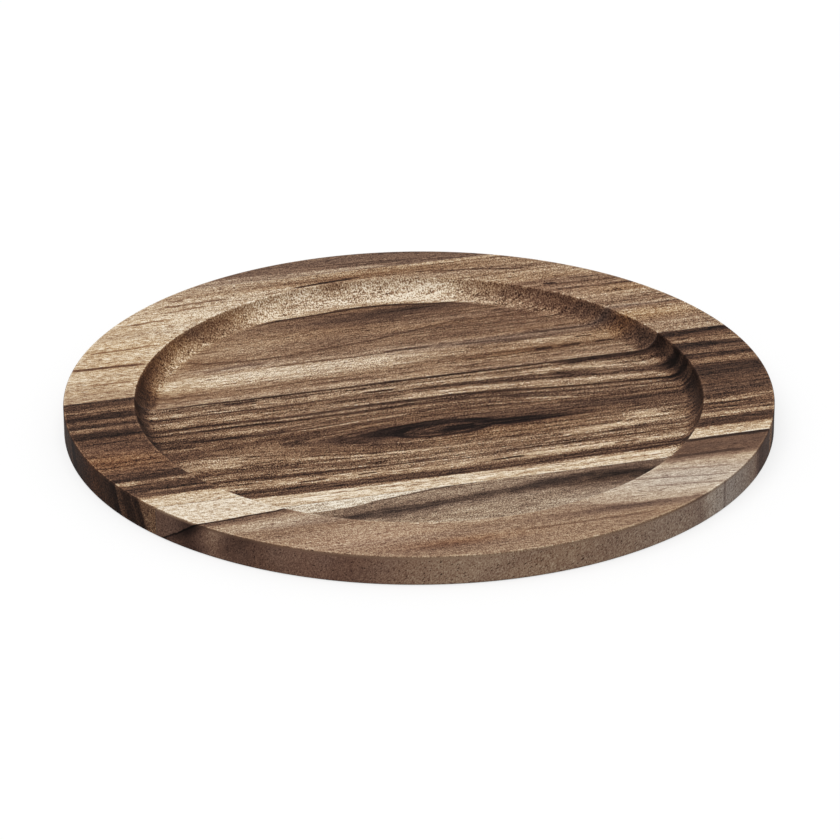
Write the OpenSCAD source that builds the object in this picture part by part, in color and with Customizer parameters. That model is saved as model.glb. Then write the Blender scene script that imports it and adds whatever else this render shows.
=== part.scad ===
// Round pizza serving board with a dished middle, made of four wooden staves
// glued edge to edge. The grain and the glue lines run along X, the underside
// rests on Z = 0, and the origin is the centre of the underside. Millimetres.

/* [Board] */
// Outer diameter of the round board
board_d = 350; // [280:1:420]
// Thickness of the board at its rim
board_t = 15; // [12:0.5:25]
// Radius of the eased edge round the top of the rim
top_edge_r = 0.5; // [0.4:0.1:3]
// Radius of the eased edge round the underside
foot_edge_r = 1; // [0.4:0.1:4]

/* [Dish] */
// Width of the flat rim round the dish
rim_w = 35; // [15:0.5:60]
// Depth of the dish floor below the rim
dish_depth = 8.5; // [4:0.5:10]
// Radius of the cove that joins the rim to the dish floor
cove_r = 10; // [3:0.5:20]
// Radius of the eased lip where the cove meets the rim
lip_r = 0.6; // [0.3:0.1:2]

/* [Staves] */
// Width of the narrow rear stave at its widest place
rear_stave_w = 21; // [10:0.5:50]
// Width of the back stave between its glue lines
back_stave_w = 119; // [60:1:140]
// Width of the front stave at its widest place
front_stave_w = 89; // [40:0.5:120]
// Thickness of each glue line
glue_t = 0.2; // [0.1:0.05:0.5]

/* [Hidden] */
$fn = 180;

board_r = board_d / 2;
dish_r = board_r - rim_w;
floor_z = board_t - dish_depth;

// Number of facets that round each eased edge
ease_steps = 3;

// How far cuts run past the faces that they open
cut_past = 1;

// Middle lines of the glue lines, from the rear of the board to its front
rear_seam_y = board_r - rear_stave_w;
back_seam_y = rear_seam_y - back_stave_w;
front_seam_y = front_stave_w - board_r;

// The cove's centre stands above the rim by cove_rise where the cove is deeper than the dish
cove_rise = max(0, cove_r - dish_depth);
cove_x = dish_r - sqrt(cove_r ^ 2 - cove_rise ^ 2);
cove_z = floor_z + cove_r;

// The lip's centre lies in the wood, where its circle touches both the cove and the rim
lip_rise = max(0, cove_r - dish_depth + lip_r);
lip_x = cove_x + sqrt((cove_r + lip_r) ^ 2 - lip_rise ^ 2);
lip_z = board_t - lip_r;
lip_foot_a = 180 - asin(lip_rise / (cove_r + lip_r));
lip_foot_z = lip_z + lip_r * sin(lip_foot_a);

// Points along an arc, from one angle to another, in equal steps
function arc(centre, r, from, to) = [
    for (i = [0 : ease_steps])
        let (a = from + (to - from) * i / ease_steps)
        centre + r * [cos(a), sin(a)]
];

// Half of the board's cross-section before the dish is cut: a slab with eased outer edges
module slab_section() {
    polygon(concat(
        [[0, 0]],
        arc([board_r - foot_edge_r, foot_edge_r], foot_edge_r, -90, 0),
        arc([board_r - top_edge_r, board_t - top_edge_r], top_edge_r, 0, 90),
        [[0, board_t]]
    ));
}

// Half of the dish's cross-section: flat floor, cove, any straight wall and the eased lip
module dish_section() {
    translate([0, floor_z]) square([cove_x, dish_depth + cut_past]);
    translate([cove_x, cove_z]) circle(cove_r);
    if (cove_r < dish_depth)
        translate([cove_x, cove_z]) square([cove_r, board_t - cove_z + cut_past]);
    polygon(concat(
        arc([lip_x, lip_z], lip_r, 90, lip_foot_a),
        [[cove_x, lip_foot_z], [cove_x, board_t + cut_past], [lip_x, board_t + cut_past]]
    ));
}

// The whole turned board, before it is parted into staves
module board_blank() {
    rotate_extrude() difference() {
        slab_section();
        intersection() {
            dish_section();
            square([board_r, board_t + cut_past]);
        }
    }
}

// The part of the board between two lines along the grain
module strip(near_y, far_y) {
    intersection() {
        board_blank();
        translate([-board_r - cut_past, near_y, -cut_past])
            cube([board_d + 2 * cut_past, far_y - near_y, board_t + 2 * cut_past]);
    }
}

module glue_line(seam_y) {
    strip(seam_y - glue_t / 2, seam_y + glue_t / 2);
}

module rear_stave() {
    color("#7d6450") strip(rear_seam_y + glue_t / 2, board_r + cut_past);
}

module back_stave() {
    color("#b3946f") strip(back_seam_y + glue_t / 2, rear_seam_y - glue_t / 2);
}

module middle_stave() {
    color("#7a5a47") strip(front_seam_y + glue_t / 2, back_seam_y - glue_t / 2);
}

module front_stave() {
    color("#a18669") strip(-board_r - cut_past, front_seam_y - glue_t / 2);
}

module rear_glue_line() {
    color("#3a2a20") glue_line(rear_seam_y);
}

module back_glue_line() {
    color("#3a2a20") glue_line(back_seam_y);
}

module front_glue_line() {
    color("#3a2a20") glue_line(front_seam_y);
}

rear_stave();
back_stave();
middle_stave();
front_stave();
rear_glue_line();
back_glue_line();
front_glue_line();
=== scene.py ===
import math

import bpy
from mathutils import Matrix, Vector


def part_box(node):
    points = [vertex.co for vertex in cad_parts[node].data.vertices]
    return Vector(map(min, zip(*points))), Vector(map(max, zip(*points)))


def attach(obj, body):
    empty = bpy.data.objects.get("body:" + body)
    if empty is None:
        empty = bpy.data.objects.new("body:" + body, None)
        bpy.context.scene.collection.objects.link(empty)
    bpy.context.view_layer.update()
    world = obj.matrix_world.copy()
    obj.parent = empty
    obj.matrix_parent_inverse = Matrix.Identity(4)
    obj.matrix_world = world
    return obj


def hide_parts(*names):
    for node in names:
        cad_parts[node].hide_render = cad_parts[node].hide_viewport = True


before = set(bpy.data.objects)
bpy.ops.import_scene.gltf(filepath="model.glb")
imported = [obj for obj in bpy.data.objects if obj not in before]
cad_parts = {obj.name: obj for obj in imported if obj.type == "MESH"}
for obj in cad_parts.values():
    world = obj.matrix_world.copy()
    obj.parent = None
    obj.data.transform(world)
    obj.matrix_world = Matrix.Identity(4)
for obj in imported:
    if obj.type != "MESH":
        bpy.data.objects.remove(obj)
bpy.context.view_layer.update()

# Sizes of the board, in metres
MM = 0.001
BOARD_R = 175 * MM
BOARD_T = 15 * MM
TOP_EDGE_R = 0.5 * MM
FOOT_EDGE_R = 1 * MM
DISH_R = 140 * MM
DISH_DEPTH = 8.5 * MM
COVE_R = 10 * MM
LIP_R = 0.6 * MM

# Places that follow from the sizes
FLOOR_Z = BOARD_T - DISH_DEPTH
COVE_RISE = COVE_R - DISH_DEPTH
COVE_X = DISH_R - math.sqrt(COVE_R ** 2 - COVE_RISE ** 2)
COVE_Z = FLOOR_Z + COVE_R
LIP_RISE = COVE_RISE + LIP_R
LIP_X = COVE_X + math.sqrt((COVE_R + LIP_R) ** 2 - LIP_RISE ** 2)
LIP_Z = BOARD_T - LIP_R
LIP_FOOT_ANGLE = 180 - math.degrees(math.asin(LIP_RISE / (COVE_R + LIP_R)))

# How finely the board is turned
TURN_STEPS = 360
EDGE_STEPS = 6
COVE_STEPS = 20
FLAT_MARGIN = 1.5 * MM
SIDE_MARGIN = 0.5 * MM
MERGE_GAP = 0.002 * MM
SMOOTH_ANGLE = math.radians(35)

# Which nodes the board is parted into
STAVES = ("rear_stave", "back_stave", "middle_stave", "front_stave")
GLUE_LINES = ("rear_glue_line", "back_glue_line", "front_glue_line")

# The photograph's point of view
CAMERA_DISTANCE = 2.26275
CAMERA_AZIMUTH = math.radians(-15.65)
CAMERA_ELEVATION = math.radians(25.689)
CAMERA_ROLL = math.radians(-0.26)
CAMERA_STEP_RIGHT = 0.467 * MM
CAMERA_STEP_UP = 0.293 * MM
CAMERA_LENS = 196.16

# Colours of the wood at rising lightness, which runs from 0 to 1 as on screen
TONES = {
    0.05: "#130e0c", 0.10: "#251b18", 0.15: "#352822", 0.25: "#503c32", 0.35: "#6d5344", 0.45: "#896c57",
    0.55: "#a1856c", 0.65: "#b79f84", 0.75: "#cdb89d", 0.85: "#e0d0b7", 0.93: "#efe4d3",
}
GLUE_TONES = ("#2a1f1b", "#543e34")

# Each kind of streak in the grain: its length, width and depth in millimetres, then the detail and the
# roughness of its noise. Ring streaks and lines follow the rings of the wood, the others run straight.
RING_STREAKS = {"Broad": (130, 9, 16, 2.0, 0.5), "Hair": (45, 2.0, 5, 2.5, 0.6)}
STRAIGHT_STREAKS = {"Fibre": (4, 0.75, 1.0, 1.5, 0.6), "Speck": (0.6, 1.0, 0.8, 1.0, 0.5)}
LINE_STREAK = (95, 5.5, 9, 2.0, 0.5)
DASH_STREAK = (6, 0.75, 1.0, 1.5, 0.6)

# Noise values at which a dark line and a dark dash begin and are full
LINE_RANGE = (0.055, 0.01)
DASH_RANGE = (-0.04, -0.13)

# Length, width and depth of the slow and the quick waves of the grain, in millimetres, and their swing
WANDER_WAVE = (110, 45, 60)
RIPPLE_WAVE = (14, 5, 8)
WAVE_SWING = 4

# Pores: the chances between which they grow, their largest and smallest reach, and the ends of their soft
# edge as shares of that reach
PORE_CHANCE = (0.3, 1.0)
PORE_REACH = 0.42
LEAST_PORE = 0.001
PORE_EDGE = (1.0, 0.4)

# Where the dish floor ends and where the rim begins, from the board's axis, and the height of the rim, in
# millimetres; the figures of floor and rim reach into the cove by the margin
FLOOR_END = COVE_X / MM
RIM_START = DISH_R / MM
BOARD_TOP = BOARD_T / MM
COVE_MARGIN = 1

# The radii between which the cove begins to cut across the grain and between which it ends, in millimetres
CUT_START = (FLOOR_END - 1, FLOOR_END + 2)
CUT_END = (RIM_START + LIP_R / MM, RIM_START)

# The radii between which the back stave's figure changes from floor to cove and from cove to rim
BACK_SLOPE = (FLOOR_END - 2, FLOOR_END + 1.5)
BACK_RIM = (RIM_START - 1, RIM_START + 0.5)

# How far the stripes of the back and the middle stave drift for each millimetre down the side
BACK_DRIFT = 0.3
MIDDLE_DRIFT = 0.4

# How much lighter the middle stave is than its stripes, on the floor and on the rim
FLOOR_LIFT = 0.035
RIM_LIFT = 0.015

# How far a face is turned along the grain where it starts to show end grain and where it shows all of it,
# which darkens it partly as end grain and partly as painted shade on the sides and the coves' walls, and
# how far it lies level where it starts to show long grain and where it shows all of it
END_TURN = (0.05, 0.85)
LEVEL_TURN = (0.35, 0.95)

# Where the eased edges are made pale, partly as wear from handling and partly as a painted highlight where
# they
# catch the light, in millimetres: between which depths below the top, how far on each side of the lip and
# the brim, and how far in from the side the brim's pale line lies
EDGE_WEAR_AND_HIGHLIGHT_DEPTHS = (1.6, 0.6)
EDGE_WEAR_AND_HIGHLIGHT_LIP = 0.8
EDGE_WEAR_AND_HIGHLIGHT_BRIM = 0.5
EDGE_WEAR_AND_HIGHLIGHT_BRIM_INSET = 0.4
EDGE_WEAR_AND_HIGHLIGHT_BRIM_GAIN = 1.6

# How the figure, the edges' wear and painted highlight, and the tints change the colour of oiled wood
LIGHT_GAIN = 1.015
SLOPE_SHARE = 0.25
EDGE_WEAR_AND_HIGHLIGHT_LIFT = 0.05
MIDDLE_HUE = 0.5
BLUSH_HUE = -0.0167
BASE_SATURATION = 1.06
WARM_SATURATION = 0.3

# Roughness and relief of oiled wood and of what breaks it, and its faint gloss
BASE_ROUGHNESS = 0.55
DASH_ROUGHNESS = 0.08
PORE_ROUGHNESS = 0.15
SPECK_RELIEF = 0.3
DASH_RELIEF = 0.3
PORE_RELIEF = 0.7
RELIEF_STRENGTH = 0.25
RELIEF_DEPTH = 0.15 * MM
OIL_SPECULAR = 0.015

# A drawn line: the ends of its soft edge in half widths, the share of a stroke that each end tapers over,
# and the least half width, in millimetres
STROKE_EDGE = (1.4, 0.5)
STROKE_TAPER = 0.2
LEAST_STROKE = 0.05

# How the figure lies on the board: its slope, and how far it is moved along and across, in millimetres
FIGURE_SLOPE = 0.0066
FIGURE_ALONG = 0.3
FIGURE_ACROSS = 0.9

# The middle of the knot's rings, how far to the left and the front of it the knot itself is drawn, and the
# size of its eye, in millimetres; over which length and by how much the rings close in beyond it, below it,
# above it and at its right; and how far the streaks above it are shifted, so as not to mirror those below
KNOT_ALONG = 7
KNOT_ACROSS = -24.5
KNOT_LEFT = 2.5
KNOT_FRONT = 2.2
EYE_HALF_LENGTH = 23
EYE_HALF_WIDTH = 6.5
KNOT_REACH = 85
BULGE_BELOW = 400
BULGE_ABOVE = 260
RING_SLIDE = 12.5
SHIFT_ABOVE = 40

# The side of the front stave: the heights between which it begins and how far out from the lip it may, in
# millimetres, how its pores lean, how the cream sapwood slopes through it, how light that is on top and on
# the side, where it is darker as painted shade, and the strength, place along and reach of the blotches on
# the side, partly the wood's own and partly painted light and shade, darker towards the left and lighter
# towards the right
SIDE_HEIGHTS = (14.5, 13)
SIDE_STEP = 5
PORE_LEAN = 0.5
SAP_SLOPE = 1.35
CREAM_LIGHT = 0.84
CREAM_SIDE_SHADED_LIGHT = 0.57
SIDE_BLOTCHES_AND_PAINTED_LIGHT = (
    (-0.24, -142, 4), (0.20, -133, 3.5), (-0.08, -121, 10), (-0.08, -80, 12), (0.02, 0, 40), (0.15, 95, 45))

# The lamp and the white surroundings: the floor takes a share of its light from the lamp, and glows for the
# rest where it is seen; for the board it is a dim surface
LAMP_TURN = (math.radians(12), math.radians(-14), 0)
LAMP_ENERGY = 1.45
LAMP_ANGLE = math.radians(70)
WHITE = (1.0, 1.0, 1.0, 1.0)
DIM = (0.25, 0.25, 0.25, 1.0)
SKY_STRENGTH = 0.6
LIT_SHARE = 0.3
STUDIO_SIZE = 12
STUDIO_DROP = 0.2 * MM


# Shorthand for laying shader nodes

def tone(code):
    """A colour written as on screen, as the linear colour that a shader takes."""
    parts = [int(code[i:i + 2], 16) / 255 for i in (1, 3, 5)]
    linear = [p / 12.92 if p <= 0.04045 else ((p + 0.055) / 1.055) ** 2.4 for p in parts]
    return (*linear, 1.0)


class Trace:
    """One output of a node; arithmetic on it lays the nodes that work the result out."""

    def __init__(self, socket):
        self.socket = socket
        self.tree = socket.id_data

    def math(self, operation, *others):
        return Trace(lay(self.tree, "Math", self, *others, operation=operation).outputs[0])

    def __add__(self, other):
        return self.math("ADD", other)

    def __sub__(self, other):
        return self.math("SUBTRACT", other)

    def __mul__(self, other):
        return self.math("MULTIPLY", other)

    def __truediv__(self, other):
        return self.math("DIVIDE", other)

    def squared(self):
        return self.math("MULTIPLY", self)

    def root(self):
        return self.math("SQRT")

    def size(self):
        return self.math("ABSOLUTE")

    def rest(self):
        """What is left of 1."""
        return self * -1.0 + 1.0

    def mound(self, half_width):
        """1 at zero, falling away smoothly on both sides."""
        return ((self / half_width).squared() * -1.0).math("EXPONENT")

    def fade(self, low, high):
        """Rises smoothly from 0 at low to 1 at high."""
        node = lay(self.tree, "MapRange", interpolation_type="SMOOTHSTEP")
        for label, item in (("Value", self), ("From Min", low), ("From Max", high)):
            feed(node.inputs[label], item)
        return Trace(node.outputs["Result"])

    def toward(self, other, share):
        """This value where share is 0 and the other where share is 1."""
        node = lay(self.tree, "Mix", share)
        feed(node.inputs[2], self)
        feed(node.inputs[3], other)
        return Trace(node.outputs[0])


def feed(socket, item):
    """Links a trace or a node's first output to a socket, or sets the socket to a number or a colour."""
    if isinstance(item, bpy.types.Node):
        item = Trace(item.outputs[0])
    if isinstance(item, Trace):
        socket.id_data.links.new(item.socket, socket)
    else:
        socket.default_value = item


def lay(tree, kind, *feeds, **settings):
    """Adds one node, with its settings and what feeds its first inputs."""
    node = tree.nodes.new("ShaderNode" + kind)
    for name, value in settings.items():
        setattr(node, name, value)
    for socket, item in zip(node.inputs, feeds):
        feed(socket, item)
    return node


def show(tree, shader, kind="OutputMaterial"):
    """Joins a shader to the output of its tree."""
    feed(lay(tree, kind).inputs["Surface"], shader)


def start_group(name, inputs, outputs):
    """A new node group: its tree, its inputs as traces, and its output node."""
    tree = bpy.data.node_groups.new(name, "ShaderNodeTree")
    for label, default in inputs.items():
        socket = tree.interface.new_socket(label, in_out="INPUT", socket_type="NodeSocketFloat")
        socket.default_value = default
    for label in outputs:
        kind = "NodeSocketColor" if label == "Colour" else "NodeSocketFloat"
        tree.interface.new_socket(label, in_out="OUTPUT", socket_type=kind)
    entry = tree.nodes.new("NodeGroupInput")
    traces = {label: Trace(entry.outputs[label]) for label in inputs}
    return tree, traces, tree.nodes.new("NodeGroupOutput")


def use_group(tree, name, feeds):
    """Places a node group, fed by label; gives its outputs as traces."""
    node = tree.nodes.new("ShaderNodeGroup")
    node.node_tree = bpy.data.node_groups[name]
    for label, item in feeds.items():
        feed(node.inputs[label], item)
    return {socket.name: Trace(socket) for socket in node.outputs}


def noise(along, across, height, detail, roughness):
    """Smooth noise about 0.5 at a place already divided by its grain sizes."""
    place = lay(along.tree, "CombineXYZ", along, across, height)
    node = lay(along.tree, "TexNoise")
    feed(node.inputs["Vector"], place)
    feed(node.inputs["Scale"], 1.0)
    feed(node.inputs["Detail"], detail)
    feed(node.inputs["Roughness"], roughness)
    return Trace(node.outputs[0])


def ramp(place, stops, interpolation="LINEAR"):
    """A colour ramp through stops of place and linear colour."""
    low, high = stops[0][0], stops[-1][0]
    node = lay(place.tree, "ValToRGB", (place - low) / (high - low))
    node.color_ramp.interpolation = interpolation
    elements = node.color_ramp.elements
    while len(elements) < len(stops):
        elements.new(1.0)
    for element, (at, _) in zip(elements, stops):
        element.position = (at - low) / (high - low)
    for element, (_, colour) in zip(elements, stops):
        element.color = colour
    return Trace(node.outputs[0])


def grey_ramp(place, stops, interpolation):
    """A value that runs through stops of place and value."""
    grey = ramp(place, [(at, (value, value, value, 1.0)) for at, value in stops], interpolation)
    return Trace(lay(grey.tree, "SeparateColor", grey).outputs[0])


def bands(place, stops):
    """Lightness laid side by side along a place in millimetres."""
    return grey_ramp(place, stops, "EASE")


def curve(along, points):
    """How far across the board a smooth line lies that passes through points of along and across."""
    low = min(across for _, across in points)
    span = max(across for _, across in points) - low
    shares = [(at, (across - low) / span) for at, across in points]
    return grey_ramp(along, shares, "CARDINAL") * span + low


# Effects that the woods share

def make_grain_space():
    """Where a point lies along and across the grain, in millimetres, with the grain's slow wander."""
    tree, given, out = start_group(
        "Grain Space", {"Seed": 0.0, "Wander": 2.0, "Ripple": 0.3},
        ("Along", "Across", "Height", "Radius"))
    place = lay(tree, "TexCoord")
    scaled = lay(tree, "VectorMath", Trace(place.outputs["Object"]), operation="SCALE")
    feed(scaled.inputs["Scale"], 1 / MM)
    axes = lay(tree, "SeparateXYZ", scaled)
    along, across, height = (Trace(axes.outputs[i]) for i in range(3))
    radius = (along.squared() + across.squared()).root()
    along, across = (
        along + across * FIGURE_SLOPE - FIGURE_ALONG,
        across - along * FIGURE_SLOPE - FIGURE_ACROSS)

    def wave(length, width, depth):
        place = (along / length + given["Seed"], across / width, height / depth)
        return noise(*place, detail=2.0, roughness=0.5) - 0.5

    bent = (across + wave(*WANDER_WAVE) * given["Wander"] * WAVE_SWING
            + wave(*RIPPLE_WAVE) * given["Ripple"] * WAVE_SWING)
    for label, item in (("Along", along), ("Across", bent), ("Height", height), ("Radius", radius)):
        feed(out.inputs[label], item)


def make_streaks():
    """Streaks along the grain, as values about zero, and masks of thin dark lines and dashes."""
    _, given, out = start_group(
        "Grain Streaks",
        {"Along": 0.0, "Across": 0.0, "Ring": 0.0, "Ring Shift": 0.0, "Height": 0.0, "Seed": 0.0},
        (*RING_STREAKS, *STRAIGHT_STREAKS, "Line", "Dash"))
    height, seed = given["Height"], given["Seed"]
    along = {"Across": given["Along"], "Ring": given["Along"] + given["Ring Shift"]}

    def streak(side, length, width, depth, detail, roughness):
        place = (along[side] / length + seed, given[side] / width, height / depth)
        return noise(*place, detail, roughness) - 0.5

    for side, kinds in (("Ring", RING_STREAKS), ("Across", STRAIGHT_STREAKS)):
        for label, sizes in kinds.items():
            feed(out.inputs[label], streak(side, *sizes))
    feed(out.inputs["Line"], streak("Ring", *LINE_STREAK).size().fade(*LINE_RANGE))
    feed(out.inputs["Dash"], streak("Across", *DASH_STREAK).fade(*DASH_RANGE))


def make_pores():
    """Open pores, as a mask of short dashes along the grain."""
    tree, given, out = start_group(
        "Grain Pores",
        {"Along": 0.0, "Ring": 0.0, "Height": 0.0, "Seed": 0.0, "Length": 5.0, "Spacing": 1.0}, ("Mask",))
    along = given["Along"] / given["Length"] + given["Seed"]
    ring, height = (given[k] / given["Spacing"] for k in ("Ring", "Height"))
    place = lay(tree, "CombineXYZ", along, ring, height)
    cells = lay(tree, "TexVoronoi", place)
    feed(cells.inputs["Scale"], 1.0)
    distance = Trace(cells.outputs["Distance"])
    chance = Trace(lay(tree, "SeparateColor", Trace(cells.outputs["Color"])).outputs[0])
    reach = chance.fade(*PORE_CHANCE) * PORE_REACH
    feed(out.inputs["Mask"], (distance / (reach + LEAST_PORE)).fade(*PORE_EDGE))


def make_soft_patch():
    """A soft oval patch, 1 at its centre."""
    _, given, out = start_group(
        "Soft Patch",
        {"Along": 0.0, "Across": 0.0, "At Along": 0.0, "At Across": 0.0,
         "Half Length": 10.0, "Half Width": 5.0},
        ("Mask",))
    along = ((given["Along"] - given["At Along"]) / given["Half Length"]).squared()
    across = ((given["Across"] - given["At Across"]) / given["Half Width"]).squared()
    feed(out.inputs["Mask"], ((along + across) * -1.0).math("EXPONENT"))


def make_edge_wear_and_highlight():
    """The eased edges of lip and rim, made pale partly by wear from handling and partly as a painted
    highlight.
    """
    _, given, out = start_group("Edge Wear And Highlight", {"Radius": 0.0, "Height": 0.0}, ("Mask",))
    high = given["Height"].fade(*(BOARD_TOP - depth for depth in EDGE_WEAR_AND_HIGHLIGHT_DEPTHS))
    lip = (given["Radius"] - LIP_X / MM).mound(EDGE_WEAR_AND_HIGHLIGHT_LIP)
    brim = (given["Radius"] - BOARD_R / MM + EDGE_WEAR_AND_HIGHLIGHT_BRIM_INSET).mound(EDGE_WEAR_AND_HIGHLIGHT_BRIM)
    feed(out.inputs["Mask"], (lip + brim * EDGE_WEAR_AND_HIGHLIGHT_BRIM_GAIN) * high)


def make_oiled_wood():
    """Colour, roughness and relief of oiled wood from its lightness, tints, streaks and pores."""
    tree, given, out = start_group(
        "Oiled Wood",
        {"Lightness": 0.5, "Warmth": 0.0, "Blush": 0.0, "Radius": 0.0, "Height": 0.0,
         "Hair": 0.0, "Fibre": 0.0, "Speck": 0.0, "Line": 0.0, "Dash": 0.0, "Pores": 0.0,
         "Hair Contrast": 0.8, "Fibre Contrast": 1.0, "Fine Contrast": 1.2, "Speck Contrast": 1.8,
         "Line Depth": 0.2, "Dash Depth": 0.15, "Pore Depth": 0.3, "End Shade": 0.4},
        ("Colour", "Roughness", "Height"))
    facing = lay(tree, "SeparateXYZ", Trace(lay(tree, "NewGeometry").outputs["Normal"]))
    end = Trace(facing.outputs[0]).size().fade(*END_TURN)
    level = Trace(facing.outputs[2]).size().fade(*LEVEL_TURN)
    long_grain = (given["Hair"] * given["Hair Contrast"] + given["Fibre"] * given["Fibre Contrast"]
                  - given["Line"] * given["Line Depth"] - given["Dash"] * given["Dash Depth"])
    coved = given["Radius"].fade(*CUT_START) * given["Radius"].fade(*CUT_END)
    cut = level.rest().math("MAXIMUM", coved)
    cut_grain = given["Speck"] * given["Fine Contrast"].toward(given["Speck Contrast"], cut)
    shown = level * (1 - SLOPE_SHARE) + SLOPE_SHARE
    figure = long_grain * shown + cut_grain - given["Pores"] * given["Pore Depth"]
    # Faces turned along the grain are darkened: partly end grain, partly painted shade on the sides and
    # coves
    light = given["Lightness"] * (figure + LIGHT_GAIN) * (end * given["End Shade"]).rest()
    wear_and_highlight = use_group(tree, "Edge Wear And Highlight", {"Radius": given["Radius"], "Height": given["Height"]})["Mask"]
    # The eased edges are lightened: partly wear, partly a painted highlight
    light = light + wear_and_highlight * EDGE_WEAR_AND_HIGHLIGHT_LIFT
    colour = ramp(light, [(at, tone(code)) for at, code in TONES.items()])
    tinted = lay(tree, "HueSaturation")
    feed(tinted.inputs["Color"], colour)
    feed(tinted.inputs["Hue"], given["Blush"] * BLUSH_HUE + MIDDLE_HUE)
    feed(tinted.inputs["Saturation"], given["Warmth"] * WARM_SATURATION + BASE_SATURATION)
    feed(out.inputs["Colour"], tinted)
    roughness = given["Dash"] * DASH_ROUGHNESS + given["Pores"] * PORE_ROUGHNESS + BASE_ROUGHNESS
    relief = given["Speck"] * SPECK_RELIEF - given["Dash"] * DASH_RELIEF - given["Pores"] * PORE_RELIEF
    feed(out.inputs["Roughness"], roughness)
    feed(out.inputs["Height"], relief)


make_grain_space()
make_streaks()
make_pores()
make_soft_patch()
make_edge_wear_and_highlight()
make_oiled_wood()


# Woods

def start_material(name):
    """A new material with no nodes yet, and its tree."""
    material = bpy.data.materials.new(name)
    material.use_nodes = True
    material.node_tree.nodes.clear()
    return material, material.node_tree


def start_grain(tree, seed, wander, ripple):
    return use_group(tree, "Grain Space", {"Seed": seed, "Wander": wander, "Ripple": ripple})


def lay_streaks(grain, ring, seed, ring_shift=0.0):
    return use_group(grain["Along"].tree, "Grain Streaks", {
        "Along": grain["Along"], "Across": grain["Across"], "Ring": ring, "Ring Shift": ring_shift,
        "Height": grain["Height"], "Seed": seed})


def patch(grain, along, across, half_length, half_width):
    """A soft oval patch on the wood, placed in millimetres."""
    return use_group(grain["Along"].tree, "Soft Patch", {
        "Along": grain["Along"], "Across": grain["Across"], "At Along": along, "At Across": across,
        "Half Length": half_length, "Half Width": half_width})["Mask"]


def add_patches(grain, value, patches):
    """Adds soft oval patches to a lightness or a tint.

    Each is a strength, a place along and across, a half length and a half width, in millimetres.
    """
    for strength, *place in patches:
        value = value + patch(grain, *place) * strength
    return value


def feather(place, streaks, **reaches):
    """A place moved by streaks of the named kinds, so that what is laid along it has frayed edges."""
    for label, reach in reaches.items():
        place = place + streaks[label] * reach
    return place


def mottle(streaks, light, depth):
    """A lightness that broad streaks make uneven."""
    return streaks["Broad"] * depth + light


def draw_line(light, value, half_width, line_light, share=1.0):
    """A thin line of its own lightness where a value passes zero."""
    mask = (value.size() / half_width).fade(*STROKE_EDGE)
    return light.toward(line_light, mask * share)


def draw_strokes(grain, light, strokes):
    """Draws thin lines that taper at both ends.

    Each is a half width, a lightness and points of along and across, in millimetres.
    """
    along, across = grain["Along"], grain["Across"]
    for half_width, line_light, *points in strokes:
        start, end = points[0][0], points[-1][0]
        taper = (end - start) * STROKE_TAPER
        share = along.fade(start, start + taper) * along.fade(end, end - taper)
        off = across - curve(along, points)
        light = draw_line(light, off, share * half_width + LEAST_STROKE, line_light, share)
    return light


def finish_wood(material, light, warmth, grain, ring, streaks, seed, contrast, pore_sizes=None):
    """Lays streaks and pores over the lightness and joins it to an oiled surface."""
    tree = material.node_tree
    pores = use_group(tree, "Grain Pores", {
        "Along": grain["Along"], "Ring": ring, "Height": grain["Height"], "Seed": seed,
        **(pore_sizes or {})})
    wood = use_group(tree, "Oiled Wood", {
        "Lightness": light, "Warmth": warmth, "Radius": grain["Radius"], "Height": grain["Height"],
        **{label: streaks[label] for label in ("Hair", "Fibre", "Speck", "Line", "Dash")},
        "Pores": pores["Mask"], **contrast})
    bump = lay(tree, "Bump")
    feed(bump.inputs["Height"], wood["Height"])
    feed(bump.inputs["Strength"], RELIEF_STRENGTH)
    feed(bump.inputs["Distance"], RELIEF_DEPTH)
    surface = lay(tree, "BsdfPrincipled")
    feed(surface.inputs["Base Color"], wood["Colour"])
    feed(surface.inputs["Roughness"], wood["Roughness"])
    feed(surface.inputs["Normal"], bump)
    feed(surface.inputs["Specular IOR Level"], OIL_SPECULAR)
    show(tree, surface)
    return material


def make_rear_wood():
    """Grey-brown wood behind a pale sliver at its left end."""
    material, tree = start_material("rear_wood")
    seed = 3.7
    grain = start_grain(tree, seed, wander=0.6, ripple=0.2)
    streaks = lay_streaks(grain, grain["Across"], seed)
    edge = feather(grain["Across"], streaks, Hair=2) - curve(grain["Along"], [
        (-90, 159), (-60, 160.5), (-30, 159.5), (0, 158), (20, 156.5), (32, 153), (60, 150)])
    light = mottle(streaks, light=0.62, depth=0.15)
    light = light.toward(mottle(streaks, light=0.39, depth=0.25), edge.fade(-1.5, 1.0))
    light = draw_strokes(grain, light, [
        (0.7, 0.28, (-20, 163), (20, 161), (55, 157)), (0.7, 0.30, (20, 158.5), (45, 156), (70, 153.5))])
    warmth = streaks["Broad"] * 0.5 - 0.3
    contrast = {"Hair Contrast": 0.6, "Fibre Contrast": 1.0, "Fine Contrast": 1.6}
    return finish_wood(material, light, warmth, grain, grain["Across"], streaks, seed, contrast)


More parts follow.
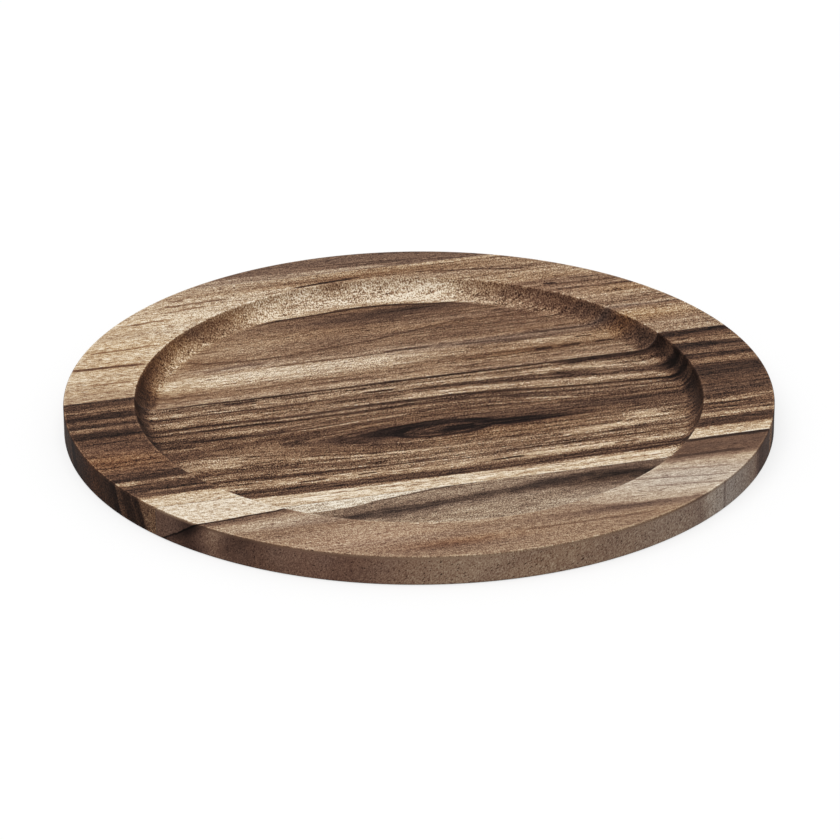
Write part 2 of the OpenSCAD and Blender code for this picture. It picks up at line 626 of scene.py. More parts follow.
def back_rim(grain, ring):
    """Pale woolly wood on the left of the rim, streaked golden wood on its right."""
    left = bands(ring, [
        (34, 0.56), (38, 0.62), (44, 0.68), (50, 0.72), (56, 0.71), (60, 0.77), (66, 0.75), (70, 0.69),
        (76, 0.70), (84, 0.76), (92, 0.76), (98, 0.74), (106, 0.72), (114, 0.73), (120, 0.77),
        (126, 0.72), (132, 0.71), (136, 0.69), (140, 0.72), (144, 0.58), (148, 0.62), (154, 0.63)])
    right = bands(ring, [
        (34, 0.58), (38, 0.55), (42, 0.52), (46, 0.56), (49, 0.44), (52, 0.52), (56, 0.54), (61, 0.60),
        (65, 0.58), (67.5, 0.42), (69.5, 0.38), (71.5, 0.57), (74.5, 0.57), (76.5, 0.38), (78.5, 0.51),
        (82, 0.54), (85, 0.58), (87.5, 0.62), (90, 0.52), (94, 0.53), (97, 0.44), (98.5, 0.33),
        (100.5, 0.50), (104, 0.40), (105.5, 0.38), (107.5, 0.50), (110, 0.38), (113, 0.53), (120, 0.57),
        (128, 0.58), (134, 0.52), (154, 0.56)])
    light = left.toward(right, grain["Along"].fade(-60, 60))
    light = add_patches(grain, light, [
        (-0.08, -128, 110, 14, 6), (0.06, -90, 122, 25, 4), (-0.12, -5, 145, 40, 2.5),
        (0.03, 55, 151, 35, 1.8), (-0.11, 45, 143.5, 40, 4), (-0.06, -40, 148, 30, 1.5)])
    return draw_strokes(grain, light, [
        (1.3, 0.32, (-170, 74), (-150, 73), (-135, 72.5), (-117, 71.3)),
        (1.1, 0.20, (-32, 139.3), (-20, 140.5), (-5, 142), (12, 143)),
        (0.9, 0.30, (30, 142.5), (55, 139), (75, 135), (105, 128)),
        (1.0, 0.16, (97, 107.2), (106, 106.8)), (0.8, 0.28, (111, 110.5), (129, 110)),
        (1.0, 0.40, (-102, 134.5), (-85, 135.5), (-60, 136.5)),
        (0.8, 0.38, (-40, 146), (0, 144.5), (35, 146)), (0.8, 0.40, (-95, 141.3), (-85, 141)),
        (0.9, 0.56, (-160, 54), (-130, 53)), (0.9, 0.54, (-150, 90), (-125, 90.5), (-108, 92)),
        (0.9, 0.50, (-125, 117), (-95, 121)), (0.8, 0.46, (-102, 128), (-72, 131)),
        (0.8, 0.55, (-165, 44), (-135, 44.5))])


def back_floor(grain, ring, streaks):
    """A pale band below a brown heart, which a dark line outlines like a low hill."""
    along, across, radius = (grain[k] for k in ("Along", "Across", "Radius"))
    left = bands(ring, [
        (33, 0.52), (36, 0.58), (38, 0.58), (40, 0.48), (43, 0.50), (45.5, 0.44), (48, 0.51),
        (50.5, 0.58), (53, 0.68), (57, 0.74), (62, 0.76), (66, 0.68), (68, 0.56), (70, 0.63), (73, 0.55),
        (76, 0.50), (80, 0.46), (90, 0.46)])
    right = bands(ring, [
        (33, 0.50), (37, 0.54), (40, 0.46), (43, 0.48), (46, 0.52), (48.5, 0.44), (50.5, 0.40),
        (53, 0.48), (56, 0.56), (60, 0.57), (62.5, 0.47), (65, 0.40), (67, 0.46), (69, 0.38), (72, 0.50),
        (75, 0.42), (78, 0.44), (80, 0.40), (84, 0.42), (90, 0.40), (95, 0.41), (102, 0.36)])
    light = left.toward(right, along.fade(-30, 60))
    light = add_patches(grain, light, [
        (-0.08, -28, 74, 32, 4), (0.05, 80, 60, 30, 2), (-0.05, -105, 45, 15, 8)])
    light = draw_strokes(grain, light, [
        (0.9, 0.33, (-78, 45), (-48, 46), (-20, 45.6)), (0.9, 0.33, (-50, 41), (-30, 41.6), (-8, 41.3)),
        (0.8, 0.36, (-66, 67.6), (-30, 67.9), (6, 67.2)),
        (1.2, 0.38, (-98, 70.5), (-78, 72.6), (-54, 73.2)),
        (0.6, 0.30, (44, 46.4), (70, 47.6), (96, 48.7)), (1.0, 0.18, (74, 49.3), (86, 49.7)),
        (1.0, 0.18, (88, 49.4), (101, 49.9)), (1.0, 0.20, (106, 50.3), (119, 50.8)),
        (0.8, 0.28, (98, 58.3), (110, 58.7)), (0.8, 0.32, (54, 63.6), (85, 64.4), (119, 64.1)),
        (1.0, 0.28, (-3, 67.8), (12, 68.4), (29, 68.1)), (0.8, 0.32, (36, 66.5), (64, 66.1)),
        (1.0, 0.28, (75, 69.2), (95, 69.6), (115, 69.3)), (0.7, 0.33, (26, 39), (54, 42.5)),
        (0.7, 0.33, (-2, 41), (18, 41.2))])
    hill = feather(across, streaks, Hair=1.5) - curve(along, [
        (-115, 94), (-95, 83), (-80, 79.5), (-60, 78), (-45, 78.6), (-30, 80.5), (0, 84.5), (20, 88.5),
        (40, 93), (55, 96.5), (75, 101), (110, 108)])
    heart = add_patches(grain, mottle(streaks, light=0.43, depth=0.2), [
        (0.11, -70, 92, 30, 11), (-0.05, -5, 105, 30, 9), (-0.16, 25, 115, 50, 9), (0.02, 30, 98, 20, 4)])
    light = light.toward(heart, hill.fade(-0.5, 1.5))
    drawn = along.fade(-110, -90) * along.fade(65, 30)
    light = draw_line(light, hill, half_width=1.0, line_light=0.32, share=drawn)
    foot = feather(radius, streaks, Broad=6) - curve(along, [
        (-90, 135), (-60, 131.5), (-40, 127.5), (-20, 125), (0, 126), (45, 126.5), (60, 130), (75, 134)])
    light = light.toward(0.64, foot.fade(-0.5, 1.5) * across.fade(90, 105))
    return draw_line(light, foot, half_width=1.2, line_light=0.20, share=across.fade(100, 112))


def back_cove(grain, streaks):
    """Pale at the back of the dish, partly as a painted sheen on its back wall; dark at its ends, partly
    end grain and partly painted shade.
    """
    light = curve(grain["Along"], [
        (-140, 0.46), (-125, 0.51), (-108, 0.68), (-90, 0.60), (-70, 0.52), (-48, 0.76), (0, 0.77),
        (50, 0.77), (72, 0.60), (95, 0.43), (140, 0.35)])
    # Painted sheen on the back wall of the cove, and painted shade deepening its left end
    light = add_patches(grain, light, [
        (0.14, 118, 60, 6, 5), (0.12, 42, 129, 14, 5), (-0.24, -125, 47, 6, 10)])
    return light + streaks["Broad"] * 0.35


def make_back_wood():
    """Tan wood with a brown heart on the dish floor."""
    material, tree = start_material("back_wood")
    seed = 11.3
    grain = start_grain(tree, seed, wander=0.9, ripple=0.35)
    along, across, height, radius = (grain[k] for k in ("Along", "Across", "Height", "Radius"))
    streaks = lay_streaks(grain, across, seed)
    floor = back_floor(grain, feather(across, streaks, Broad=3, Hair=3), streaks)
    stripes = feather(across, streaks, Broad=3, Hair=2) - (height - BOARD_TOP) * BACK_DRIFT
    rim = back_rim(grain, stripes)
    sloped = radius.fade(*BACK_SLOPE)
    on_rim = radius.fade(*BACK_RIM)
    light = floor.toward(back_cove(grain, streaks), sloped).toward(rim, on_rim)
    # Painted shade: a darker band on the back wall of the cove just below the lip
    light = light - patch(grain, -6, 138.5, 10, 3) * 0.24
    warmth = add_patches(grain, streaks["Broad"] * 0.8, [
        (0.6, 135, 60, 30, 7), (0.4, 140, 92, 25, 5), (-0.35, 50, 67, 60, 4), (-0.35, -75, 72, 25, 4),
        (0.4, 70, 50, 40, 4), (0.3, 90, 120, 30, 8), (0.4, 20, 146, 60, 5), (-0.5, 130, 70, 25, 2),
        (0.4, -135, 80, 40, 40)])
    warmth = warmth + (sloped - on_rim) * along.fade(0, -60) * 0.2
    contrast = {
        "Hair Contrast": (along + 15).fade(0, 70) * 0.4 + 0.5,
        "Fibre Contrast": along.fade(-60, -120) * 0.4 + 1.1,
        "Fine Contrast": along.fade(-140, -50) * 1.4 + 0.8, "Speck Contrast": 2.6,
        "Line Depth": along.fade(-60, 60) * 0.15 + 0.1, "Dash Depth": 0.16,
        "Blush": patch(grain, 95, 95, 30, 20) * 0.2,
        # Painted shade: the end grain is darkened more towards the left than towards the right
        "End Shade": along.fade(60, -60) * 0.15 + 0.35}
    return finish_wood(material, light, warmth, grain, across, streaks, seed, contrast)


def middle_rim(grain, ring):
    """Stripes at the two ends of the dark stave, listed from back to front."""
    left = bands(ring, [
        (36, 0.20), (33, 0.24), (29, 0.24), (26.5, 0.35), (23, 0.42), (20.5, 0.33), (18, 0.17),
        (14.5, 0.18), (13, 0.36), (8, 0.31), (6.6, 0.18), (5, 0.36), (2.5, 0.36), (-0.5, 0.17),
        (-5, 0.18), (-7.5, 0.29), (-18, 0.31), (-25, 0.34), (-31, 0.40), (-40, 0.35), (-50, 0.28),
        (-53.5, 0.18), (-55.5, 0.21), (-57, 0.52), (-59.5, 0.46), (-61.5, 0.26), (-67, 0.25), (-69, 0.38),
        (-71, 0.25), (-73, 0.24), (-75.5, 0.73), (-86, 0.77)][::-1])
    right = bands(ring, [
        (36, 0.17), (30, 0.20), (26, 0.24), (23.5, 0.38), (20, 0.47), (17.5, 0.43), (15.5, 0.23),
        (11, 0.19), (9, 0.30), (6, 0.39), (3.5, 0.26), (-1, 0.24), (-4, 0.44), (-8, 0.41), (-10.5, 0.23),
        (-17, 0.18), (-22, 0.22), (-27, 0.28), (-45, 0.29), (-48.5, 0.46), (-51.5, 0.47), (-53.5, 0.29),
        (-55.5, 0.43), (-57.5, 0.27), (-60, 0.41), (-62, 0.33), (-65, 0.58), (-68, 0.45), (-70, 0.24),
        (-76, 0.21), (-78.5, 0.71), (-86, 0.76)][::-1])
    return left.toward(right, grain["Along"].fade(-20, 20))


def middle_floor(grain, streaks, off_across, ring):
    """Stripes that part round a long knot, darker above it and golden below."""
    feathered = ring + (streaks["Broad"] * 2 + streaks["Hair"] * 3) * ring.fade(4, 24)
    upper = bands(feathered, [
        (4, 0.30), (7, 0.30), (9, 0.32), (10.5, 0.30), (12.5, 0.33), (14.5, 0.37), (16.5, 0.27),
        (18.5, 0.31), (19.8, 0.50), (20.8, 0.29), (23.5, 0.37), (25.5, 0.44), (27.5, 0.32), (28.8, 0.11),
        (29.8, 0.34), (31, 0.50), (32.5, 0.33), (34, 0.13), (36, 0.41), (38, 0.57), (40, 0.58),
        (41.5, 0.48), (43, 0.31), (44.5, 0.37), (46, 0.24), (47.5, 0.52), (50, 0.57), (53.5, 0.43),
        (56, 0.48), (57.5, 0.42), (62, 0.42)])
    lower = bands(feathered, [
        (4, 0.32), (6.5, 0.32), (8.5, 0.35), (11.5, 0.38), (18.5, 0.37), (20.5, 0.40), (22, 0.58),
        (23, 0.44), (25, 0.46), (27, 0.24), (28.5, 0.41), (30, 0.48), (31.3, 0.32), (32.4, 0.47),
        (33.6, 0.20), (35, 0.42), (36, 0.30), (37.3, 0.49), (39.5, 0.63), (42.5, 0.56), (44.5, 0.35),
        (46.5, 0.18), (48.5, 0.29), (50, 0.16), (51.6, 0.27), (52.6, 0.61), (54, 0.74), (56.5, 0.78),
        (60, 0.78), (64, 0.74)])
    light = lower.toward(upper, off_across.fade(-3.0, 3.0))
    light = add_patches(grain, light, [
        (0.28, 107, -38, 13, 5), (0.22, 80, -46.5, 16, 3), (0.16, -108, -30, 20, 6),
        (0.02, 45, -34, 35, 5), (0.07, 20, -62, 110, 12), (-0.05, 50, -22, 30, 6),
        (-0.04, -88, -65, 26, 2.8), (-0.10, -100, 29, 30, 3), (-0.08, 105, -18, 22, 6),
        # The last patch is painted shade on the wall of the right cove
        (0.08, -98, -69, 14, 3), (-0.18, 134, 10, 8, 14)])
    return draw_strokes(grain, light, [
        (0.8, 0.12, (-160, 34.3), (-80, 33.5), (0, 32.8), (60, 32.2), (130, 31.8)),
        (2.6, 0.10, (72, 31.4), (115, 30.8), (155, 30)), (0.9, 0.15, (-94, 30.3), (-72, 30.7)),
        (0.8, 0.18, (-64, 28.8), (-46, 29.2)), (0.9, 0.17, (-24, 24.3), (-4, 24.7)),
        (0.9, 0.17, (-135, 12.8), (-90, 10), (-60, 8.5), (0, 9.8), (45, 8), (75, 3), (105, 0.5),
         (140, -5.5)),
        (0.8, 0.18, (-85, 4), (0, 4.5), (40, 2.5), (60, 0), (85, -4.5)),
        (0.8, 0.20, (-5, 21.6), (45, 19), (76, 15.6)), (0.8, 0.20, (72, 17.8), (100, 13.2)),
        (0.9, 0.20, (110, 11.6), (133, 8)),
        (1.3, 0.18, (-135, -5), (-98, -6.5), (-60, -7.2), (-15, -5.5)),
        (0.7, 0.58, (-88, -9.4), (-40, -7), (8, -4.4)), (0.8, 0.55, (50, -4), (82, -9.8)),
        (0.9, 0.62, (-132, -30.6), (-100, -33), (-75, -37), (-45, -40.6)),
        (0.9, 0.18, (-128, -52), (-80, -55), (-40, -57), (8, -57.6)),
        (1.0, 0.20, (-80, -63.2), (-62, -62.8)), (0.8, 0.22, (-50, -63.2), (-38, -62.9)),
        (0.8, 0.24, (15, -66.2), (36, -65.8)), (0.8, 0.24, (78, -65.2), (95, -64.8)),
        (0.8, 0.66, (50, -51.6), (75, -47), (90, -44), (100, -38.5), (118, -35))])


def draw_knot(grain, light, streaks):
    """A lens-shaped eye with a dark outline, and a black crescent behind it that ends in a tail."""
    along, across = grain["Along"] + KNOT_LEFT, grain["Across"] + KNOT_FRONT
    grain = {**grain, "Along": along, "Across": across}
    off_along, off_across = along - KNOT_ALONG, across - KNOT_ACROSS
    light = add_patches(grain, light, [
        (-0.10, -38, -25, 26, 7), (-0.16, -22, -21.5, 14, 5), (-0.05, 0, -22, 70, 10)])
    oval = ((off_along / EYE_HALF_LENGTH).squared() + (off_across / EYE_HALF_WIDTH).squared()).root()
    oval = oval + streaks["Hair"] * 0.3
    rings = (oval * 26).math("SINE") * 0.04
    core = ((along - 15.5) / 12).squared() + ((across + 24.8) / 3).squared() + streaks["Hair"] * 2
    eye = (rings + 0.18).toward(0.04, core.fade(1.2, 0.6))
    light = light.toward(eye, oval.fade(1.02, 0.92))
    light = draw_line(light, oval - 1.0, half_width=0.14, line_light=0.07)
    crescent = feather(across, streaks, Hair=3) - curve(along, [
        (-60, -22), (-35, -20), (-20, -19), (-8, -17.3), (5, -15.8), (18, -16), (28, -19), (34, -23.5),
        (45, -25), (70, -25.5), (100, -25)])
    girth = curve(along, [
        (-60, 0.3), (-40, 0.8), (-28, 2.2), (-15, 3.4), (-5, 2.6), (8, 1.5), (18, 1.3), (28, 2.0),
        (36, 3.4), (48, 3.2), (62, 2.0), (100, 0.5)])
    mask = (crescent.size() / girth).fade(1.6, 0.6) * along.fade(-60, -20) * along.fade(105, 45)
    return light.toward(streaks["Hair"] * 0.25 + 0.045, mask)


def part_rings(off_along, off_across, above):
    """Distance across the grain from the knot, along which the rings round it are laid.

    Beyond its ends the rings close in, on both sides of it at the left and behind it at the right.
    """
    spread = off_along.mound(KNOT_REACH).rest()
    near = off_across.fade(16, 30).rest().toward(1.0, off_across.fade(5, -5))
    bulge = (above * (BULGE_ABOVE - BULGE_BELOW) + BULGE_BELOW) * near
    ring = (off_across.squared() + bulge * spread * off_along.fade(10, -10)).root()
    slide = off_across.fade(-2, 22) * off_across.fade(30, 57).rest() * RING_SLIDE
    return ring + spread * off_along.fade(-10, 10) * slide


def make_middle_wood():
    """Dark striped wood whose rings part round the knot."""
    material, tree = start_material("middle_wood")
    seed = 23.1
    grain = start_grain(tree, seed, wander=0.6, ripple=0.3)
    along, across, height, radius = (grain[k] for k in ("Along", "Across", "Height", "Radius"))
    off_across = across - KNOT_ACROSS
    above = off_across.fade(-5, 5)
    ring = part_rings(along - KNOT_ALONG, off_across, above)
    streaks = lay_streaks(grain, ring, seed, above * SHIFT_ABOVE)
    floor = middle_floor(grain, streaks, off_across, ring)
    floor = draw_knot(grain, floor, streaks)
    stripes = feather(across, streaks, Broad=2, Hair=2) - (height - BOARD_TOP) * MIDDLE_DRIFT
    rim = middle_rim(grain, stripes)
    on_rim = radius.fade(FLOOR_END + COVE_MARGIN, RIM_START - COVE_MARGIN)
    light = (floor + FLOOR_LIFT).toward(rim + RIM_LIFT, on_rim)
    # Painted shade on the wall of the right cove
    light = light - patch(grain, 136, 4, 5, 15) * 0.15
    warmth = add_patches(grain, streaks["Broad"] * 0.6 + 0.1, [
        (0.4, -160, -32, 30, 14), (0.2, 45, -34, 40, 7)])
    dark = light.fade(0.75, 0.5)
    contrast = {
        "Hair Contrast": dark * 0.8 + 0.7, "Fibre Contrast": 1.3,
        "Fine Contrast": dark * (on_rim * -0.8 + 2.0) + 1.0, "Speck Contrast": 2.4,
        "Line Depth": dark * 0.2 + 0.15, "Dash Depth": dark * 0.12 + 0.1,
        "Blush": patch(grain, -160, -30, 35, 18) * 0.3, "End Shade": 0.5}
    return finish_wood(material, light, warmth, grain, ring, streaks, seed, contrast)


def front_floor(grain, streaks):
    """A dark arch over an olive-grey field."""
    along, across = grain["Along"], grain["Across"]
    arch = feather(across, streaks, Hair=6, Broad=6) - curve(along, [
        (-100, -107), (-65, -104.5), (-40, -104), (-20, -101.5), (0, -99.5), (20, -97.5), (32, -95),
        (45, -93.5), (60, -92.8), (75, -94), (90, -96), (115, -98)])
    smoke = noise(along / 8, across / 4, 0.0, detail=2.0, roughness=0.6) - 0.5
    light = smoke * 0.3 + bands(arch, [
        (-30, 0.58), (-20, 0.54), (-12, 0.52), (-7, 0.44), (-5, 0.37), (-3, 0.29), (-1.5, 0.27),
        (0, 0.30), (1.5, 0.39), (4, 0.48), (8, 0.47), (14, 0.49)])
    return add_patches(grain, light, [
        (-0.22, 68, -100, 32, 11), (0.10, 68, -93.5, 26, 3), (-0.08, 34, -100, 14, 5),
        (-0.14, -45, -102, 28, 5), (-0.10, 85, -91, 25, 3), (-0.10, 17, -117, 9, 1.5)])


def front_rim(grain, streaks, sap):
    """Grey and pinkish wood with a brown band, silver at its right."""
    along, across = grain["Along"], grain["Across"]
    light = bands(feather(sap, streaks, Broad=3), [
        (-75, 0.52), (-55, 0.53), (-40, 0.57), (-30, 0.55), (-24, 0.48), (-18, 0.50), (-13, 0.60),
        (-8, 0.60), (-5, 0.49), (-3, 0.38), (0, 0.32)])
    light = light.toward(mottle(streaks, light=0.52, depth=0.15), along.fade(-70, -20))
    silver = feather(across, streaks, Broad=4) - curve(along, [
        (20, -134), (35, -139), (60, -145), (80, -147), (95, -145.5), (120, -142)])
    light = light.toward(mottle(streaks, light=0.69, depth=0.15), silver.fade(-2, 2) * along.fade(30, 55))
    light = add_patches(grain, light, [
        (0.04, -60, -145, 40, 10), (-0.14, -32, -161.5, 26, 4.5), (-0.16, 62, -148, 30, 3.5),
        (-0.06, 15, -148, 30, 2), (0.06, -105, -117, 20, 4)])
    dusk = feather(across, streaks, Hair=8).fade(-113, -104) * along.fade(75, 95)
    light = light.toward(mottle(streaks, light=0.33, depth=0.2), dusk)
    return draw_strokes(grain, light, [
        (1.0, 0.40, (-5, -157.5), (45, -157), (80, -156)),
        (1.2, 0.24, (92, -104.6), (115, -104.2), (138, -104.8)),
        (0.9, 0.46, (-125, -123), (-100, -125), (-68, -126)),
        # A painted highlight along the front lip, partly pale wear on its edge
        (0.8, 0.62, (-66, -132), (-20, -141), (5, -143.4)),
        (0.7, 0.50, (58, -121), (90, -125), (125, -129)),
        (0.7, 0.52, (70, -131), (100, -134), (122, -136)),
        (0.7, 0.54, (65, -114), (95, -117), (130, -120))])


def make_front_wood():
    """Grey-brown wood with cream sapwood at its back and leaning pores on its side."""
    material, tree = start_material("front_wood")
    seed = 31.9
    grain = start_grain(tree, seed, wander=0.7, ripple=0.4)
    along, across, height, radius = (grain[k] for k in ("Along", "Across", "Height", "Radius"))
    on_rim = radius.fade(FLOOR_END + COVE_MARGIN, RIM_START - COVE_MARGIN)
    outside = radius.fade(RIM_START, RIM_START + SIDE_STEP)
    side = height.fade(*SIDE_HEIGHTS) * outside
    grain["Height"] = height - along * side * PORE_LEAN
    streaks = lay_streaks(grain, across, seed)
    low_line = curve(along, [
        (-115, -97.5), (-85, -96), (-62, -95), (-53, -93.5), (-41, -91.5), (-31, -90), (-21, -88.4),
        (-10, -87.2), (5, -86.2), (130, -85.5)])
    high_line = curve(along, [
        (-165, -110), (-120, -106.9), (-97, -103.9), (-60, -97.8), (0, -88.6), (60, -88.6), (175, -89.2)])
    sap = feather(across, streaks, Hair=1.5) - low_line.toward(high_line, on_rim)
    sap = sap + (height - BOARD_TOP) * outside * SAP_SLOPE
    light = front_floor(grain, streaks).toward(front_rim(grain, streaks, sap), on_rim)
    cream = sap.fade(-0.4, 0.4)
    # Painted shade: the cream sapwood is made darker on the side than on top
    light = light.toward(side * (CREAM_SIDE_SHADED_LIGHT - CREAM_LIGHT) + CREAM_LIGHT, cream)
    drawn = (along.fade(-62, -38) * 0.7).math("MAXIMUM", on_rim)
    light = draw_line(light, sap, along.fade(60, 140) * 0.8 + 0.7, line_light=0.14, share=drawn)
    # Blotches on the side, partly the wood's own and partly painted light and shade: darker to the left,
    # lighter to the right
    for strength, at, reach in SIDE_BLOTCHES_AND_PAINTED_LIGHT:
        light = light + side * (along - at).mound(reach) * strength
    warmth = add_patches(grain, streaks["Broad"] * 0.6, [
        (-1.1, 95, -128, 50, 16), (0.4, -27, -160, 25, 4), (-0.4, -90, -117, 30, 6),
        (0.4, 66, -99, 28, 8)])
    warmth = warmth - (on_rim * -0.4 + 0.55) - cream * 0.1 - side * (along.fade(20, 90) * 0.5 + 0.1)
    blush = add_patches(grain, side * 0.4, [(0.3, -27, -160, 30, 5), (0.4, -70, -145, 40, 15)])
    blush = blush - on_rim.rest() * 0.3
    right = along.fade(20, 80)
    contrast = {
        "Hair Contrast": right * -0.2 + 0.4, "Fibre Contrast": cream * 0.5 + 0.9,
        "Fine Contrast": on_rim * -0.8 + 2.2 - right * 0.7 - cream * 0.5,
        "Speck Contrast": side * -0.4 + 1.6, "Line Depth": 0.08, "Dash Depth": 0.13,
        # Painted shade: the end grain is darkened more towards the left than towards the right
        "Pore Depth": side * 0.6 + 0.3, "Blush": blush, "End Shade": along.fade(60, -60) * 0.15 + 0.3}
    pore_sizes = {"Length": side * -2.4 + 5, "Spacing": side * -0.3 + 1}
    return finish_wood(material, light, warmth, grain, across, streaks, seed, contrast, pore_sizes)


def make_glue():
    """Cured glue, dark with the dust of the wood beside it."""
    material, tree = start_material("glue")
    grain = start_grain(tree, seed=5.0, wander=0.0, ripple=0.0)
    place = (grain["Along"] / 6, grain["Across"], grain["Height"] / 2)
    speck = noise(*place, detail=3.0, roughness=0.6)
    dark, light = (tone(code) for code in GLUE_TONES)
    surface = lay(tree, "BsdfPrincipled")
    feed(surface.inputs["Base Color"], ramp(speck, [(0.3, dark), (0.7, light)]))
    feed(surface.inputs["Roughness"], (speck - 0.5) * 0.3 + 0.6)
    show(tree, surface)
    return material


# The turned board and its parting

def arc(centre_x, centre_z, radius, start, end, steps):
    """Points along an arc, angles in degrees."""
    angles = [math.radians(start + (end - start) * i / steps) for i in range(steps + 1)]
    return [(centre_x + radius * math.cos(a), centre_z + radius * math.sin(a)) for a in angles]


def half_section():
    """The board's outline on one side of its axis, from the underside round to the dish floor."""
    foot_x = BOARD_R - FOOT_EDGE_R
    top_x = BOARD_R - TOP_EDGE_R
    top_z = BOARD_T - TOP_EDGE_R
    outline = [(0, 0), (foot_x - FLAT_MARGIN, 0)]
    outline += arc(foot_x, FOOT_EDGE_R, FOOT_EDGE_R, -90, 0, EDGE_STEPS)
    outline += [(BOARD_R, FOOT_EDGE_R + SIDE_MARGIN), (BOARD_R, top_z - SIDE_MARGIN)]
    outline += arc(top_x, top_z, TOP_EDGE_R, 0, 90, EDGE_STEPS)
    outline += [(top_x - FLAT_MARGIN, BOARD_T), (LIP_X + FLAT_MARGIN, BOARD_T)]
    outline += arc(LIP_X, LIP_Z, LIP_R, 90, LIP_FOOT_ANGLE, EDGE_STEPS)
    outline += arc(COVE_X, COVE_Z, COVE_R, LIP_FOOT_ANGLE - 180, -90, COVE_STEPS)[1:]
    outline += [(COVE_X - FLAT_MARGIN, FLOOR_Z), (0, FLOOR_Z)]
    return outline


def select_axis(blank):
    """Selects the points that lie on the axis of turning."""
    bpy.ops.mesh.select_all(action="DESELECT")
    bpy.ops.object.mode_set(mode="OBJECT")
    for point in blank.data.vertices:
        point.select = math.hypot(point.co.x, point.co.y) < MERGE_GAP
    bpy.ops.object.mode_set(mode="EDIT")


def turn_blank():
    """Turns the half section about the board's axis."""
    bpy.ops.object.select_all(action="DESELECT")
    bpy.ops.mesh.primitive_plane_add(size=MM, location=(0, 0, 0))
    blank = bpy.context.object
    blank.name = "board_blank"
    bpy.ops.object.mode_set(mode="EDIT")
    bpy.ops.mesh.select_mode(type="VERT")
    bpy.ops.mesh.merge(type="CENTER")
    outline = half_section()
    for (from_x, from_z), (to_x, to_z) in zip(outline, outline[1:]):
        bpy.ops.mesh.extrude_region_move(
            TRANSFORM_OT_translate={"value": (to_x - from_x, 0, to_z - from_z)})
    bpy.ops.mesh.select_all(action="SELECT")
    bpy.ops.mesh.spin(steps=TURN_STEPS, angle=math.tau, center=(0, 0, 0), axis=(0, 0, 1))
    bpy.ops.mesh.select_all(action="SELECT")
    bpy.ops.mesh.remove_doubles(threshold=MERGE_GAP)
    bpy.ops.mesh.normals_make_consistent(inside=False)
    select_axis(blank)
    bpy.ops.mesh.dissolve_verts()
    bpy.ops.object.mode_set(mode="OBJECT")
    return blank


def part_off(blank, node):
    """Copies the blank and keeps what lies between a node's two faces across the grain."""
    low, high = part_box(node)
    bpy.ops.object.select_all(action="DESELECT")
    blank.select_set(True)
    bpy.context.view_layer.objects.active = blank
    bpy.ops.object.duplicate()
    piece = bpy.context.object
    piece.name = node + "_piece"
    bpy.ops.object.mode_set(mode="EDIT")
    for face_y, keep_above in ((low.y, True), (high.y, False)):
        if abs(face_y) < BOARD_R - MM:
            bpy.ops.mesh.select_all(action="SELECT")
            bpy.ops.mesh.bisect(plane_co=(0, face_y, 0), plane_no=(0, 1, 0), use_fill=True,
                                clear_inner=keep_above, clear_outer=not keep_above)
    bpy.ops.mesh.select_all(action="SELECT")
    bpy.ops.mesh.normals_make_consistent(inside=False)
    bpy.ops.object.mode_set(mode="OBJECT")
    bpy.ops.object.shade_smooth_by_angle(angle=SMOOTH_ANGLE)
    return piece


def fit_piece(piece, node, material):
    """Gives a piece its finish, hangs it on the root body and hides the node it stands in for."""
    piece.data.materials.clear()
    piece.data.materials.append(material)
    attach(piece, "root")
    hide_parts(node)


def make_board():
    """Turns the blank, parts it into staves and glue lines, and finishes each."""
    woods = {
        "rear_stave": ("rear_wood", make_rear_wood()),
        "back_stave": ("back_wood", make_back_wood()),
        "middle_stave": ("middle_wood", make_middle_wood()),
        "front_stave": ("front_wood", make_front_wood()),
    }
    glue = make_glue()
    blank = turn_blank()
    for node in STAVES:
        slot, material = woods[node]
        fit_piece(part_off(blank, node), node, material)
    for node in GLUE_LINES:
        fit_piece(part_off(blank, node), node, glue)
    bpy.data.objects.remove(blank)


# Camera, light and floor

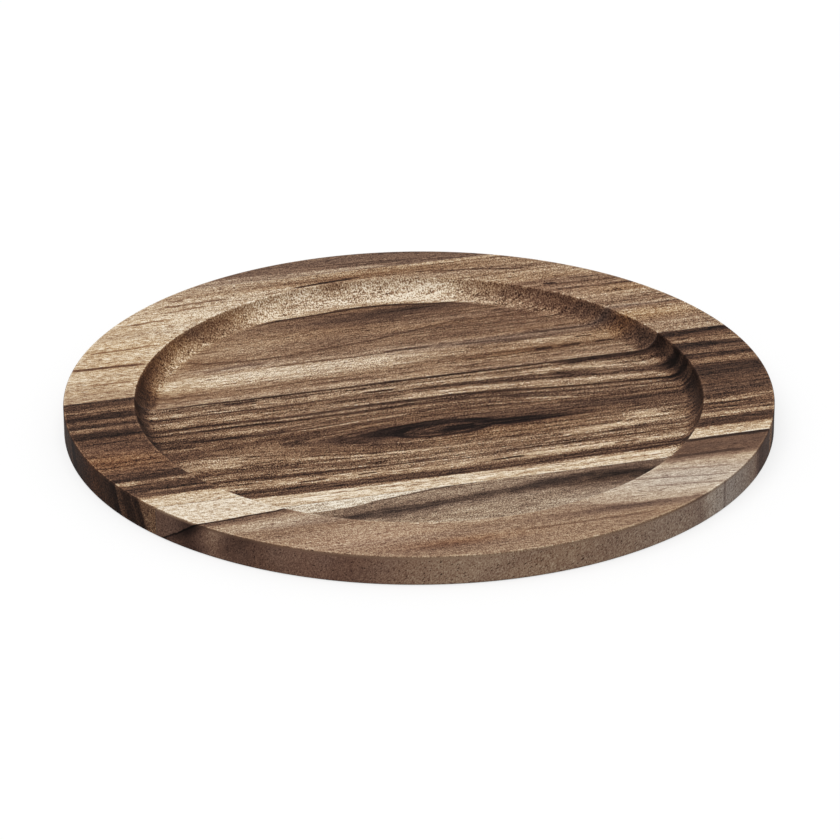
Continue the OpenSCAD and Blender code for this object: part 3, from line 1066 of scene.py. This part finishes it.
def make_camera():
    """The camera of the photograph's point of view."""
    azimuth, elevation = CAMERA_AZIMUTH, CAMERA_ELEVATION
    back = Vector((math.sin(azimuth) * math.cos(elevation), -math.cos(azimuth) * math.cos(elevation),
                   math.sin(elevation)))
    right = Vector((math.cos(azimuth), math.sin(azimuth), 0))
    up = back.cross(right)
    rolled_right = right * math.cos(CAMERA_ROLL) + up * math.sin(CAMERA_ROLL)
    rolled_up = up * math.cos(CAMERA_ROLL) - right * math.sin(CAMERA_ROLL)
    turn = Matrix((rolled_right, rolled_up, back)).transposed()
    spot = back * CAMERA_DISTANCE + right * CAMERA_STEP_RIGHT + up * CAMERA_STEP_UP
    bpy.ops.object.camera_add(location=spot, rotation=turn.to_euler())
    camera = bpy.context.object
    camera.data.lens = CAMERA_LENS
    bpy.context.scene.camera = camera


def shows_backdrop(tree):
    """1 on the rays that meet the white backdrop: those of the camera, of gloss and of clear surfaces."""
    path = lay(tree, "LightPath")
    direct, gloss, clear = (
        Trace(path.outputs[k]) for k in ("Is Camera Ray", "Is Glossy Ray", "Is Transmission Ray"))
    return direct.math("MAXIMUM", gloss).math("MAXIMUM", clear)


def make_light():
    """A broad soft lamp overhead, and a sky that is white where it is seen."""
    bpy.ops.object.light_add(type="SUN", rotation=LAMP_TURN)
    lamp = bpy.context.object
    lamp.data.energy = LAMP_ENERGY
    lamp.data.angle = LAMP_ANGLE
    world = bpy.data.worlds.new("studio")
    bpy.context.scene.world = world
    world.use_nodes = True
    tree = world.node_tree
    tree.nodes.clear()
    sky = lay(tree, "Background", WHITE, SKY_STRENGTH)
    backdrop = lay(tree, "Background", WHITE, 1.0)
    mix = lay(tree, "MixShader", shows_backdrop(tree), sky, backdrop)
    show(tree, mix, "OutputWorld")


def make_floor():
    """A white floor that keeps a faint shadow."""
    bpy.ops.object.select_all(action="DESELECT")
    bpy.ops.mesh.primitive_plane_add(size=STUDIO_SIZE, location=(0, 0, -STUDIO_DROP))
    floor = bpy.context.object
    floor.name = "studio_floor"
    material, tree = start_material("studio_floor")
    glow = lay(tree, "Emission", WHITE, 1.0)
    lit = lay(tree, "BsdfDiffuse", WHITE)
    dim = lay(tree, "BsdfDiffuse", DIM)
    shown = lay(tree, "MixShader", LIT_SHARE, glow, lit)
    mix = lay(tree, "MixShader", shows_backdrop(tree), dim, shown)
    show(tree, mix)
    floor.data.materials.append(material)


bpy.context.scene.view_settings.view_transform = "Standard"
make_camera()
make_light()
make_floor()
make_board()
